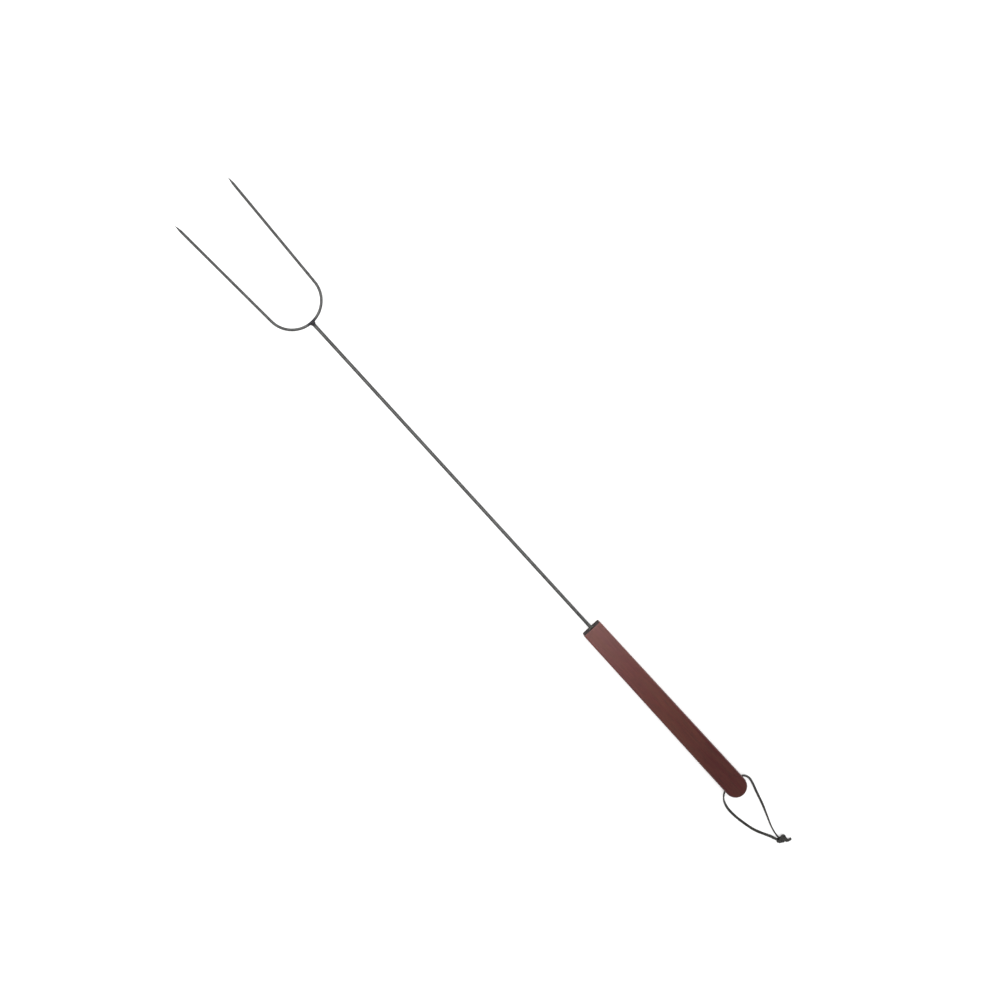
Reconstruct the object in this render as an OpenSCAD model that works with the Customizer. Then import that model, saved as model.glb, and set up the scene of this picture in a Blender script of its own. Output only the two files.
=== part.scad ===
// Roasting fork: a bent wire fork on a long rod, a wooden handle and a hanging loop.
// Millimetres. +X runs from the butt to the points, +Z is up, and the handle lies on Z = 0.

/* [Overall] */
// Length from the points to the butt of the handle
total_l = 900; // [700:5:1200]

/* [Prongs] */
// Diameter of the fork's wire
prong_d = 3.2; // [2.5:0.1:5]
// Radius of the bend, to the middle of the wire
bend_r = 33; // [22:1:45]
// Length of each straight leg, with its point
prong_l = 153; // [90:1:220]
// Angle by which each leg leans outwards
splay = 2.8; // [0.2:0.1:8]
// Length of the ground point
point_l = 10; // [5:0.5:25]
// Diameter left at the very tip
tip_d = 0.5; // [0.3:0.1:1.2]

/* [Rod] */
// Diameter of the long rod
rod_d = 4; // [3:0.1:7]
// Length of rod hidden in the handle
tang_l = 90; // [40:1:145]
// Chamfer on the hidden end of the rod
tang_chamfer = 0.5; // [0.2:0.1:1]

/* [Weld] */
// How far the bead runs down the rod from the wire
bead_l = 2.6; // [1.5:0.1:5]
// How far the bead stands out from the rod, where it meets the wire
bead_t = 1; // [0.5:0.1:2]

/* [Handle] */
// Length of the handle
handle_l = 250; // [190:1:320]
// Width at the front end
front_w = 24; // [18:0.5:30]
// Width at the butt, which is also the diameter of its round end
butt_w = 26; // [22:0.5:32]
// Thickness
handle_t = 18; // [14:0.5:26]
// Rounding of the long edges and of the round end
edge_r = 2; // [1:0.25:4]
// Rounding of the edges at the front end
front_edge_r = 0.8; // [0.4:0.1:2]
// Depth of the bore beyond the end of the rod
bore_spare = 3; // [1:0.5:10]
// Chamfer at the mouth of the bore
bore_chamfer = 0.6; // [0.3:0.1:1.5]

/* [Glue] */
// Thickness of the glue round the rod
glue_t = 0.5; // [0.2:0.05:1]
// How far the glue stands proud at the front end
glue_rise = 0.6; // [0.3:0.1:1.5]

/* [Hanging loop] */
// Width of the flat lace
lace_w = 3; // [2:0.1:4]
// Thickness of the lace
lace_t = 1.6; // [1:0.1:2]
// Clearance round the lace in its hole
lace_room = 0.7; // [0.3:0.1:2]
// Distance of the hole from the end of the butt
hole_inset = 13; // [8:0.5:25]
// Chamfer at each mouth of the hole
hole_chamfer = 1; // [0.4:0.1:2]
// Length of the knot
knot_l = 12; // [9:0.5:16]
// Diameter of the knot
knot_d = 7.8; // [6:0.2:8]
// Length of the longer tail, from the knot's middle
tail_long = 11; // [8:0.5:20]
// Length of the shorter tail, from the knot's middle
tail_short = 7.5; // [6:0.5:14]

/* [Hidden] */
$fn = 64;

// Clearance between steel, weld, glue and wood where they are bonded
bond_gap = 0.03;
// Sides of a full circle on the wooden blank
blank_fn = 48;
// Overrun of a cut past the face that it opens
over = 1;
// Thickness of a slice that a hull joins
slice = 0.01;

axis_z = handle_t / 2;
tip_x = total_l / 2;
butt_x = -total_l / 2;
front_x = butt_x + handle_l;
bend_x = tip_x - prong_l * cos(splay) + bend_r * sin(splay);
weld_x = bend_x - bend_r;
wire_r = prong_d / 2;
rod_r = rod_d / 2;
rod_end_x = weld_x - wire_r / 2;
tang_x = front_x - tang_l;
bore_r = rod_r + glue_t;
bore_l = tang_l + bore_spare;
butt_r = butt_w / 2;
hole_r = lace_w / 2 + lace_room;
hole_x = butt_x + hole_inset;
// Half of the handle's width where the hole comes out
hole_y = hole_inset < butt_r
    ? sqrt(hole_inset * (butt_w - hole_inset))
    : butt_r - (hole_inset - butt_r) * (butt_w - front_w) / 2 / (handle_l - butt_r);

// The lace's way from the middle of its hole, as points of x, y, z and a turn:
// how far its flat side has turned from level
left_route = [
    [0, 12, 0, 90],
    [-0.8, 13.9, -0.1, 88],
    [-2.6, 16.3, -0.6, 84],
    [-5.2, 18.6, -1.6, 74],
    [-9, 20.9, -3.2, 58],
    [-14, 22.6, -5.1, 42],
    [-19.5, 23.8, -6.7, 28],
    [-25, 24.2, -7.7, 16],
    [-31, 24, -8.1, 8],
    [-38, 23.2, -8.1, 2],
    [-45, 21.9, -8.1, 0],
    [-52, 20.4, -8.1, 2],
    [-59, 18.4, -8, 8],
    [-66, 15.4, -7.9, 14],
    [-72.5, 12, -7.5, 22],
    [-78, 8.9, -6.7, 30],
    [-82.6, 5.6, -5.8, 34]
];
right_route = [
    [0, -12, 0, 90],
    [-1, -13.9, -0.1, 84],
    [-3, -15.6, -0.5, 74],
    [-6, -16.8, -1.4, 60],
    [-10.6, -17.3, -3, 44],
    [-16, -16.6, -4.9, 34],
    [-21.5, -15.3, -6.5, 30],
    [-27, -13.6, -7.5, 28],
    [-33, -11.8, -7.8, 30],
    [-39.5, -9.9, -7.8, 30],
    [-46, -7.8, -7.7, 36],
    [-52.5, -5.3, -7.6, 46],
    [-59, -2.8, -7.5, 56],
    [-65.5, -0.2, -7.4, 66],
    [-72, 2, -7.2, 76],
    [-77.5, 3.2, -6.6, 80],
    [-82.4, 2.9, -5.8, 80]
];
// Middle of the knot, from the middle of the hole, and the ways that the knot and its tails point
knot_at = [-87, 2.2, -5];
knot_turn = 228;
long_turn = 226;
short_turn = 203;
// Corners of the lace's section, and points along the knot's outline
lace_sides = 8;
knot_steps = 12;

// A corner of the lace's flat section, which is as wide and as thick as the lace
function lace_corner(k) =
    let(a = 360 * (k + 0.5) / lace_sides)
    [lace_w * cos(a), lace_t * sin(a)] / 2 / cos(180 / lace_sides);

function place(p) = [p[0], p[1], p[2]];

function unit(v) = v / norm(v);

function heading(route, i) =
    i == 0
        ? [0, sign(route[0][1]), 0]
        : unit(place(route[min(i + 1, len(route) - 1)]) - place(route[i - 1]));

function lace_ring(at, along, turn) =
    let(side = unit(cross(along, [0, 0, 1])), up = cross(side, along))
    [for (k = [0 : lace_sides - 1])
        let(c = lace_corner(k))
        at + side * (c[0] * cos(turn) - c[1] * sin(turn)) + up * (c[0] * sin(turn) + c[1] * cos(turn))];

module from_hole() {
    translate([hole_x, 0, axis_z]) children();
}

module along_x() {
    rotate([0, 90, 0]) children();
}

module across_y() {
    rotate([-90, 0, 0]) children();
}

// A tube through rings of the same number of points, closed at both ends
module tube(rings) {
    n = len(rings[0]);
    last = (len(rings) - 1) * n;
    sides = [for (i = [0 : len(rings) - 2], k = [0 : n - 1])
        let(a = i * n + k, b = i * n + (k + 1) % n)
        each [[a, b, a + n], [b, b + n, a + n]]];
    start_cap = [for (k = [1 : n - 2]) [0, k + 1, k]];
    end_cap = [for (k = [1 : n - 2]) [last, last + k, last + k + 1]];
    polyhedron([for (ring = rings, p = ring) p], concat(sides, start_cap, end_cap));
}

module lace(route) {
    color([0.2, 0.19, 0.17])
        from_hole()
            tube([for (i = [0 : len(route) - 1]) lace_ring(place(route[i]), heading(route, i), route[i][3])]);
}

module bend_wire(r) {
    translate([bend_x, 0, axis_z])
        rotate([0, 0, 90 + splay])
            rotate_extrude(angle = 180 - 2 * splay)
                translate([bend_r, 0]) circle(r);
}

module prong() {
    rotate_extrude()
        polygon([
            [0, 0],
            [wire_r, 0],
            [wire_r, prong_l - point_l],
            [tip_d / 2, prong_l],
            [0, prong_l]
        ]);
}

module fork_prongs() {
    color("dimgray") {
        bend_wire(wire_r);
        for (side = [-1, 1])
            translate([bend_x, 0, axis_z])
                rotate([0, 0, side * splay])
                    translate([0, side * bend_r, 0]) along_x() prong();
    }
}

module rod_solid(r, from_x, to_x) {
    translate([from_x, 0, axis_z]) along_x() cylinder(h = to_x - from_x, r = r);
}

module shaft_rod() {
    long = rod_end_x - tang_x;
    color("gray") difference() {
        translate([tang_x, 0, axis_z]) along_x() rotate_extrude()
            polygon([
                [0, 0],
                [rod_r - tang_chamfer, 0],
                [rod_r, tang_chamfer],
                [rod_r, long],
                [0, long]
            ]);
        bend_wire(wire_r + bond_gap);
    }
}

module junction_weld() {
    foot_x = weld_x - wire_r - bead_l;
    wide = rod_r + bead_t;
    long = rod_end_x - foot_x;
    color("darkslategray") difference() {
        translate([foot_x, 0, axis_z]) along_x() rotate_extrude()
            polygon([
                [0, 0],
                [rod_r + 0.15 * bead_t, 0],
                [rod_r + 0.35 * bead_t, 0.45 * bead_l],
                [wide, bead_l],
                [wide, long],
                [0, long]
            ]);
        rod_solid(rod_r + bond_gap, foot_x - over, weld_x);
        bend_wire(wire_r + bond_gap);
    }
}

module round_bar(w, t, r) {
    offset(r) square([w - 2 * r, t - 2 * r], center = true);
}

// The wooden blank, from the rounded front end to the round butt
module handle_blank() {
    $fn = blank_fn;
    hull() {
        for (a = [0, 30, 60, 90]) {
            inset = front_edge_r * (1 - cos(a));
            x = front_x - slice - front_edge_r * (1 - sin(a));
            translate([x, 0, axis_z]) rotate([90, 0, 90])
                linear_extrude(slice) round_bar(front_w - 2 * inset, handle_t - 2 * inset, edge_r);
        }
        translate([butt_x + butt_r, 0, 0]) rotate_extrude() intersection() {
            translate([0, axis_z]) round_bar(butt_w, handle_t, edge_r);
            square([butt_w, handle_t]);
        }
    }
}

module handle() {
    color([0.27, 0.1, 0.08]) difference() {
        handle_blank();
        translate([front_x - bore_l, 0, axis_z]) along_x() cylinder(h = bore_l + over, r = bore_r);
        translate([front_x - bore_chamfer, 0, axis_z]) along_x()
            cylinder(h = bore_chamfer + over, r1 = bore_r, r2 = bore_r + bore_chamfer + over);
        from_hole() {
            across_y() cylinder(h = butt_w + 2 * over, r = hole_r, center = true);
            for (side = [-1, 1])
                rotate([0, 0, side == 1 ? 0 : 180]) translate([0, hole_y - hole_chamfer, 0]) across_y()
                    cylinder(h = hole_chamfer + over, r1 = hole_r, r2 = hole_r + hole_chamfer + over);
        }
    }
}

module tang_glue() {
    outer = bore_r - bond_gap;
    color([0.12, 0.11, 0.07]) difference() {
        translate([front_x - bore_l + bond_gap, 0, axis_z]) along_x() rotate_extrude()
            polygon([
                [0, 0],
                [outer, 0],
                [outer, bore_l - bore_chamfer - bond_gap],
                [outer + bore_chamfer, bore_l - bond_gap],
                [rod_r + bore_chamfer, bore_l + glue_rise / 3],
                [rod_r + bore_chamfer / 3, bore_l + glue_rise],
                [0, bore_l + glue_rise]
            ]);
        rod_solid(rod_r + bond_gap, tang_x - bond_gap, front_x + glue_rise + over);
    }
}

module loop_in_hole() {
    color([0.2, 0.19, 0.17])
        from_hole()
            tube([for (route = [right_route, left_route]) lace_ring(place(route[0]), [0, 1, 0], route[0][3])]);
}

module loop_left_leg() {
    lace(left_route);
}

module loop_right_leg() {
    lace(right_route);
}

module tail(turn, long) {
    rotate([0, 0, turn]) along_x() rotate([0, 0, 90])
        linear_extrude(long) polygon([for (k = [0 : lace_sides - 1]) lace_corner(k)]);
}

module loop_knot() {
    color([0.16, 0.15, 0.13]) from_hole() translate(knot_at) {
        rotate([0, 0, knot_turn]) along_x() rotate_extrude()
            polygon([for (i = [0 : knot_steps])
                let(a = 180 * i / knot_steps)
                [knot_d / 2 * sin(a), -knot_l / 2 * cos(a)]]);
        tail(long_turn, tail_long);
        tail(short_turn, tail_short);
    }
}

fork_prongs();
shaft_rod();
junction_weld();
handle();
tang_glue();
loop_in_hole();
loop_left_leg();
loop_right_leg();
loop_knot();
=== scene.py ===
"""Roasting fork: the looks of a bent wire fork on a long rod, with a wooden handle and a leather loop.

Everything is in metres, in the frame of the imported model: +X runs from the butt to the points, +Y is to the
left, +Z is up, and the handle lies on the floor at Z = 0.
"""

from __future__ import annotations

import logging
import math
from collections.abc import Callable, Iterable, Sequence
from dataclasses import dataclass, field
from enum import Enum
from typing import Any

import bmesh
import bpy
import numpy as np
from mathutils import Matrix, Vector, noise

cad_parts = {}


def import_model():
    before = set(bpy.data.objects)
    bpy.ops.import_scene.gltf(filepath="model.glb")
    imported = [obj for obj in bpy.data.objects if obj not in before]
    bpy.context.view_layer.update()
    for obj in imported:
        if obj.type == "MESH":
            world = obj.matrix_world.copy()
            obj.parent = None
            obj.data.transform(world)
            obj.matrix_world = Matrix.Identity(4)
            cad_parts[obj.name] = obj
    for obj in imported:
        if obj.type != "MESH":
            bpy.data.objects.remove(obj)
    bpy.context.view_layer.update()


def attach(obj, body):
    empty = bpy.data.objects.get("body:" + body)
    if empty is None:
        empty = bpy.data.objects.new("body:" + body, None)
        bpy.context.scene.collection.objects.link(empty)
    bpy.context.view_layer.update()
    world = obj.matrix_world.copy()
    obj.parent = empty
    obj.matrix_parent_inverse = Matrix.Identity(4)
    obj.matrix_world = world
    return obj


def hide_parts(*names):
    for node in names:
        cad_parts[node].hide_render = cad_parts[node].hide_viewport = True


LOG = logging.getLogger("roasting_fork")

MM = 0.001
AXIS_HEIGHT = 9 * MM
UP = np.array([0.0, 0.0, 1.0])


class Body(Enum):
    """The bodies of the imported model."""

    FORK = "fork"
    LOOP = "loop"


class Pattern(Enum):
    """Attributes in which a piece keeps its straightened coordinates, in metres."""

    WIRE = "wire_place"
    LACE = "lace_place"


class Cut(Enum):
    """Material slots of the handle, by how the saw met the grain."""

    LONG_GRAIN = 0
    END_GRAIN = 1


# Materials


def linear(hex_colour: str) -> tuple[float, float, float, float]:
    """Turn an sRGB hex value into a linear colour.

    Args:
        hex_colour: Six hex digits after a hash sign.

    Returns:
        Linear red, green and blue, and an alpha of one.
    """
    parts = [int(hex_colour[i : i + 2], 16) / 255 for i in (1, 3, 5)]
    red, green, blue = (p / 12.92 if p <= 0.04045 else ((p + 0.055) / 1.055) ** 2.4 for p in parts)
    return red, green, blue, 1.0


def per_mm(size: float) -> float:
    """Pattern scale, in turns per metre, of a feature that is this many millimetres in size."""
    return 1 / (size * MM)


def add_node(
    tree: bpy.types.NodeTree,
    kind: str,
    links: dict[str | int, Any] | None = None,
    stops: Sequence[tuple[float, str]] = (),
    **settings: Any,
) -> bpy.types.Node:
    """Add one node with its settings, its socket values and its links.

    Args:
        tree: The node tree that the node goes into.
        kind: Blender's name for the kind of node.
        links: For each input, by name or number, the socket to link to it or the value to set.
        stops: For a colour ramp, the places of its stops and their hex colours.
        **settings: Properties of the node itself.

    Returns:
        The new node.
    """
    node = tree.nodes.new(kind)
    for name, value in settings.items():
        setattr(node, name, value)
    for name, value in (links or {}).items():
        if isinstance(value, bpy.types.NodeSocket):
            tree.links.new(value, node.inputs[name])
        else:
            node.inputs[name].default_value = value
    if stops:
        elements = node.color_ramp.elements
        while len(elements) < len(stops):
            elements.new(1.0)
        for element, (place, colour) in zip(elements, stops):
            element.position = place
            element.color = linear(colour)
    return node


def new_material(name: str) -> tuple[bpy.types.Material, bpy.types.NodeTree]:
    """Make an empty node material.

    Args:
        name: The finish's name.

    Returns:
        The material and its empty node tree.
    """
    material = bpy.data.materials.new(name)
    material.use_nodes = True
    material.node_tree.nodes.clear()
    return material, material.node_tree


@dataclass(frozen=True)
class DrawnSteel:
    """Mild steel wire, drawn through a die and left with its dark mill skin.

    The die leaves fine lines along the wire, the skin is grey and a little blotchy, and it is darkest and
    faintly blue where the weld heated it.
    """

    name: str
    dark: str = "#484848"
    pale: str = "#5a5a59"
    ground: str = "#6a6a6a"
    heated: str = "#2c2c30"
    film: str = "#2b2a1a"
    roughness: float = 0.36
    die_line: float = 0.35  # the real lines are about 0.05 mm apart, and are drawn coarser to show
    blotch: float = 5.0
    heat_reach: float = 9 * MM
    ground_from: float = 1.0
    film_from: float = 1.0

    def material(self) -> bpy.types.Material:
        """Build the steel's node material."""
        material, tree = new_material(self.name)
        place = add_node(tree, "ShaderNodeAttribute", attribute_name=Pattern.WIRE.value).outputs["Vector"]
        along = add_node(tree, "ShaderNodeSeparateXYZ", {0: place}).outputs[0]
        reach = add_node(tree, "ShaderNodeMath", {0: along}, operation="ABSOLUTE").outputs[0]
        lines_at = add_node(
            tree,
            "ShaderNodeMapping",
            {"Vector": place, "Scale": (per_mm(40), per_mm(self.die_line), per_mm(self.die_line))},
        )
        lines = add_node(
            tree,
            "ShaderNodeTexNoise",
            {"Vector": lines_at.outputs[0], "Scale": 1.0, "Detail": 3.0},
        )
        patches = add_node(
            tree,
            "ShaderNodeTexNoise",
            {"Vector": place, "Scale": per_mm(self.blotch), "Detail": 4.0},
        )
        blend = add_node(
            tree, "ShaderNodeMix", {0: 0.35, 2: patches.outputs[0], 3: lines.outputs[0]}, data_type="FLOAT"
        )
        skin = add_node(
            tree,
            "ShaderNodeValToRGB",
            {0: blend.outputs[0]},
            stops=((0.36, self.dark), (0.64, self.pale)),
        )
        ring_at = add_node(
            tree,
            "ShaderNodeMapping",
            {"Vector": place, "Scale": (per_mm(0.5), per_mm(6), per_mm(6))},
        )
        rings = add_node(
            tree,
            "ShaderNodeTexNoise",
            {"Vector": ring_at.outputs[0], "Scale": 1.0, "Detail": 2.0},
        )
        wheel = add_node(
            tree,
            "ShaderNodeValToRGB",
            {0: rings.outputs[0]},
            stops=((0.3, self.pale), (0.7, self.ground)),
        )
        is_ground = self._ramp(tree, reach, self.ground_from, self.ground_from + 1.5 * MM)
        is_film = self._ramp(tree, reach, self.film_from, self.film_from + 2.5 * MM)
        is_heated = self._ramp(tree, reach, self.heat_reach, 2 * MM)
        colour = skin.outputs[0]
        layers = (
            (is_ground, wheel.outputs[0]),
            (is_heated, linear(self.heated)),
            (is_film, linear(self.film)),
        )
        for amount, over in layers:
            mixed = {0: amount, 6: colour, 7: over}
            colour = add_node(tree, "ShaderNodeMix", mixed, data_type="RGBA").outputs[2]
        rough = add_node(
            tree,
            "ShaderNodeMapRange",
            {0: lines.outputs[0], 1: 0.3, 2: 0.7, 3: self.roughness - 0.05, 4: self.roughness + 0.07},
        )
        relief = add_node(
            tree,
            "ShaderNodeBump",
            {"Height": blend.outputs[0], "Strength": 0.25, "Distance": 0.05 * MM},
        )
        shader = add_node(
            tree,
            "ShaderNodeBsdfPrincipled",
            {
                "Base Color": colour,
                "Metallic": 1.0,
                "Roughness": rough.outputs[0],
                "Normal": relief.outputs[0],
            },
        )
        add_node(tree, "ShaderNodeOutputMaterial", {"Surface": shader.outputs[0]})
        return material

    def _ramp(
        self, tree: bpy.types.NodeTree, value: bpy.types.NodeSocket, low: float, high: float
    ) -> bpy.types.NodeSocket:
        """Add a smooth rise from zero at low to one at high.

        Args:
            tree: The material's node tree.
            value: The socket with the distance along the steel.
            low: Where the rise starts, in metres.
            high: Where it ends, which may be below low.

        Returns:
            The socket with the result.
        """
        node = add_node(
            tree,
            "ShaderNodeMapRange",
            {0: value, 1: low, 2: high, 3: 0.0, 4: 1.0},
            interpolation_type="SMOOTHSTEP",
        )
        return node.outputs[0]


@dataclass(frozen=True)
class WeldedSteel:
    """Weld metal: mild steel that froze in ripples, dark with heat scale and faintly blue and straw."""

    name: str
    scale: str = "#262627"
    tint: str = "#3b3a3e"
    straw: str = "#4a443a"
    roughness: float = 0.45
    patch: float = 1.4

    def material(self) -> bpy.types.Material:
        """Build the weld's node material."""
        material, tree = new_material(self.name)
        place = add_node(tree, "ShaderNodeTexCoord").outputs["Object"]
        patches = add_node(
            tree,
            "ShaderNodeTexNoise",
            {"Vector": place, "Scale": per_mm(self.patch), "Detail": 5.0},
        )
        colour = add_node(
            tree,
            "ShaderNodeValToRGB",
            {0: patches.outputs[0]},
            stops=((0.35, self.scale), (0.55, self.tint), (0.72, self.straw)),
        )
        relief = add_node(
            tree,
            "ShaderNodeBump",
            {"Height": patches.outputs[0], "Strength": 0.4, "Distance": 0.08 * MM},
        )
        shader = add_node(
            tree,
            "ShaderNodeBsdfPrincipled",
            {
                "Base Color": colour.outputs[0],
                "Metallic": 1.0,
                "Roughness": self.roughness,
                "Normal": relief.outputs[0],
            },
        )
        add_node(tree, "ShaderNodeOutputMaterial", {"Surface": shader.outputs[0]})
        return material


@dataclass(frozen=True)
class VarnishedHardwood:
    """Hardwood with a red-brown mahogany stain under satin varnish.

    The stain sits unevenly along the grain, in browner and redder streaks. The colour darkens from the front
    towards the butt, which is painted falloff of light along the handle. Fine dark pores run along the grain,
    and the varnish gives a soft sheen.
    """

    name: str
    # Painted light falloff: darkest at the butt and lightest at the front, standing in for light that falls
    # off along the handle
    light_falloff_tones: tuple[tuple[float, str], ...] = (
        (0.0, "#34110d"),
        (0.25, "#3a130d"),
        (0.5, "#48180e"),
        (0.75, "#552019"),
        (1.0, "#65312a"),
    )
    brown_streak: str = "#5c2a12"
    red_streak: str = "#571722"
    pore: str = "#1a0705"
    roughness: float = 0.36
    streak: float = 5.0
    fibre: float = 0.9
    butt_x: float = -450 * MM
    front_x: float = -200 * MM

    def material(self) -> bpy.types.Material:
        """Build the varnished wood's node material."""
        material, tree = new_material(self.name)
        place = add_node(tree, "ShaderNodeTexCoord").outputs["Object"]
        along = add_node(tree, "ShaderNodeSeparateXYZ", {0: place}).outputs[0]
        # Painted light falloff along the handle: the place along X picks the colour, dark at the butt and
        # light at the front
        share = add_node(tree, "ShaderNodeMapRange", {0: along, 1: self.butt_x, 2: self.front_x})
        light_falloff_tone = add_node(tree, "ShaderNodeValToRGB", {0: share.outputs[0]}, stops=self.light_falloff_tones)
        broad = self._grain(tree, place, self.streak * 14, self.streak, 2.0)
        fine = self._grain(tree, place, self.fibre * 30, self.fibre, 4.0)
        pores = self._grain(tree, place, 5.0, 0.35, 1.0)
        streaks = add_node(
            tree,
            "ShaderNodeValToRGB",
            {0: broad},
            stops=((0.3, self.red_streak), (0.7, self.brown_streak)),
        )
        colour = add_node(
            tree,
            "ShaderNodeMix",
            {0: 0.35, 6: light_falloff_tone.outputs[0], 7: streaks.outputs[0]},
            data_type="RGBA",
        ).outputs[2]
        shade = add_node(tree, "ShaderNodeMapRange", {0: fine, 1: 0.25, 2: 0.75, 3: 0.72, 4: 1.25})
        colour = add_node(
            tree,
            "ShaderNodeMix",
            {0: 1.0, 6: colour, 7: shade.outputs[0]},
            data_type="RGBA",
            blend_type="MULTIPLY",
        ).outputs[2]
        is_pore = add_node(tree, "ShaderNodeMapRange", {0: pores, 1: 0.6, 2: 0.72, 3: 0.0, 4: 0.55})
        colour = add_node(
            tree,
            "ShaderNodeMix",
            {0: is_pore.outputs[0], 6: colour, 7: linear(self.pore)},
            data_type="RGBA",
        ).outputs[2]
        rough = add_node(
            tree,
            "ShaderNodeMapRange",
            {0: broad, 1: 0.3, 2: 0.7, 3: self.roughness - 0.04, 4: self.roughness + 0.06},
        )
        relief = add_node(
            tree,
            "ShaderNodeBump",
            {"Height": fine, "Strength": 0.2, "Distance": 0.06 * MM},
        )
        shader = add_node(
            tree,
            "ShaderNodeBsdfPrincipled",
            {
                "Base Color": colour,
                "Roughness": rough.outputs[0],
                "Specular IOR Level": 0.5,
                "Normal": relief.outputs[0],
            },
        )
        add_node(tree, "ShaderNodeOutputMaterial", {"Surface": shader.outputs[0]})
        return material

    def _grain(
        self, tree: bpy.types.NodeTree, place: bpy.types.NodeSocket, long: float, wide: float, detail: float
    ) -> bpy.types.NodeSocket:
        """Add noise that is drawn out along the grain.

        Args:
            tree: The material's node tree.
            place: The coordinates to read.
            long: Length of a feature along the grain, in millimetres.
            wide: Its width, in millimetres.
            detail: How many finer layers the noise has.

        Returns:
            The socket with the noise.
        """
        at = add_node(
            tree,
            "ShaderNodeMapping",
            {"Vector": place, "Scale": (per_mm(long), per_mm(wide), per_mm(wide))},
        )
        grain = add_node(
            tree,
            "ShaderNodeTexNoise",
            {"Vector": at.outputs[0], "Scale": 1.0, "Detail": detail, "Distortion": 0.3},
        )
        return grain.outputs[0]


@dataclass(frozen=True)
class EndGrain:
    """The same hardwood cut across: it drinks the stain and is matt and finely pitted, and its nearly black
    colour is partly that stain and partly painted shade on the upright end face.
    """

    name: str
    # These colours are partly the stain and partly painted shade of the upright end face
    stain_and_shade_deep: str = "#140a0a"
    ring: str = "#2a1715"
    roughness: float = 0.7
    ring_gap: float = 1.6
    ring_tilt: float = math.radians(20)
    pit: float = 0.3

    def material(self) -> bpy.types.Material:
        """Build the end grain's node material."""
        material, tree = new_material(self.name)
        place = add_node(tree, "ShaderNodeTexCoord").outputs["Object"]
        rings_at = add_node(
            tree,
            "ShaderNodeMapping",
            {
                "Vector": place,
                "Rotation": (self.ring_tilt, 0, 0),
                "Scale": (0.0, 0.0, per_mm(self.ring_gap)),
            },
        )
        rings = add_node(
            tree,
            "ShaderNodeTexWave",
            {"Vector": rings_at.outputs[0], "Scale": 0.32, "Distortion": 1.5, "Detail": 2.0},
            bands_direction="Z",
        )
        pits = add_node(
            tree,
            "ShaderNodeTexNoise",
            {"Vector": place, "Scale": per_mm(self.pit), "Detail": 2.0},
        )
        # Nearly black rings: the stain plus painted shade of the end face
        colour = add_node(
            tree,
            "ShaderNodeValToRGB",
            {0: rings.outputs[1]},
            stops=((0.2, self.stain_and_shade_deep), (0.9, self.ring)),
        )
        relief = add_node(
            tree,
            "ShaderNodeBump",
            {"Height": pits.outputs[0], "Strength": 0.4, "Distance": 0.08 * MM},
        )
        shader = add_node(
            tree,
            "ShaderNodeBsdfPrincipled",
            {
                "Base Color": colour.outputs[0],
                "Roughness": self.roughness,
                "Specular IOR Level": 0.15,
                "Normal": relief.outputs[0],
            },
        )
        add_node(tree, "ShaderNodeOutputMaterial", {"Surface": shader.outputs[0]})
        return material


@dataclass(frozen=True)
class SetGlue:
    """Epoxy that has set dark: smooth, faintly olive, with dust in its skin."""

    name: str
    clear: str = "#1d1c10"
    dusty: str = "#35331f"
    roughness: float = 0.3
    speck: float = 0.8

    def material(self) -> bpy.types.Material:
        """Build the glue's node material."""
        material, tree = new_material(self.name)
        place = add_node(tree, "ShaderNodeTexCoord").outputs["Object"]
        specks = add_node(
            tree,
            "ShaderNodeTexNoise",
            {"Vector": place, "Scale": per_mm(self.speck), "Detail": 3.0},
        )
        colour = add_node(
            tree,
            "ShaderNodeValToRGB",
            {0: specks.outputs[0]},
            stops=((0.4, self.clear), (0.7, self.dusty)),
        )
        rough = add_node(
            tree,
            "ShaderNodeMapRange",
            {0: specks.outputs[0], 3: self.roughness, 4: self.roughness + 0.2},
        )
        shader = add_node(
            tree,
            "ShaderNodeBsdfPrincipled",
            {"Base Color": colour.outputs[0], "Roughness": rough.outputs[0], "IOR": 1.55},
        )
        add_node(tree, "ShaderNodeOutputMaterial", {"Surface": shader.outputs[0]})
        return material


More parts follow.
